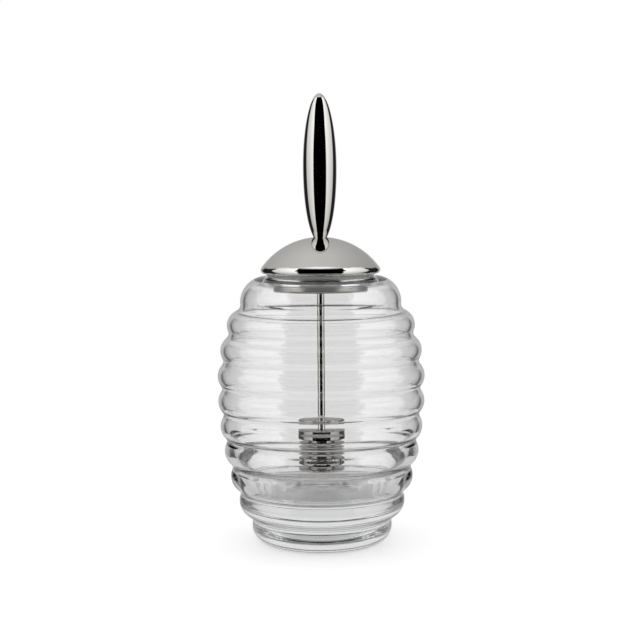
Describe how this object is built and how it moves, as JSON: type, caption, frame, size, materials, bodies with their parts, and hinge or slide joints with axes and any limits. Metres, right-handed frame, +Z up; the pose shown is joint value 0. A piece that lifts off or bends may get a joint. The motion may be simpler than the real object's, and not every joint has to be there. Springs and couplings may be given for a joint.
{
  "type": "honey pot",
  "caption": "Ribbed clear glass honey pot shaped like a beehive, with a lift-off polished steel lid that carries a spindle handle, a stem and a honey dipper.",
  "frame": {"origin": "middle of the pot's underside, on the axis of the pot", "axes": "+Z up along the pot's axis, towards the handle's tip; +X to the right and -Y towards the camera in the picture"},
  "size_m": [0.1004, 0.1004, 0.2168],
  "materials": {
    "pot_glass": "clear, fire-polished",
    "polished_steel": "mirror polished",
    "plated_steel": "zinc plated",
    "clear_seal": "translucent, matt"
  },
  "bodies": {
    "pot": {"glass_pot": "pot_glass"},
    "seal": {"seal_ring": "clear_seal"},
    "lid": {"lid_dome": "polished_steel", "lid_pan": "polished_steel", "handle": "polished_steel", "stem": "polished_steel", "dipper_head": "polished_steel", "lock_nut": "plated_steel", "washer": "plated_steel", "stem_bush": "clear_seal"}
  },
  "joints": [
    {"name": "lid_lift", "type": "slide", "parent": "pot", "child": "seal", "axis": [0, 0, 1], "range_m": [0, 0.11]},
    {"name": "lid_turn", "type": "hinge", "parent": "seal", "child": "lid", "pos_m": [0, 0, 0.12955], "axis": [0, 0, 1], "continuous": true}
  ]
}
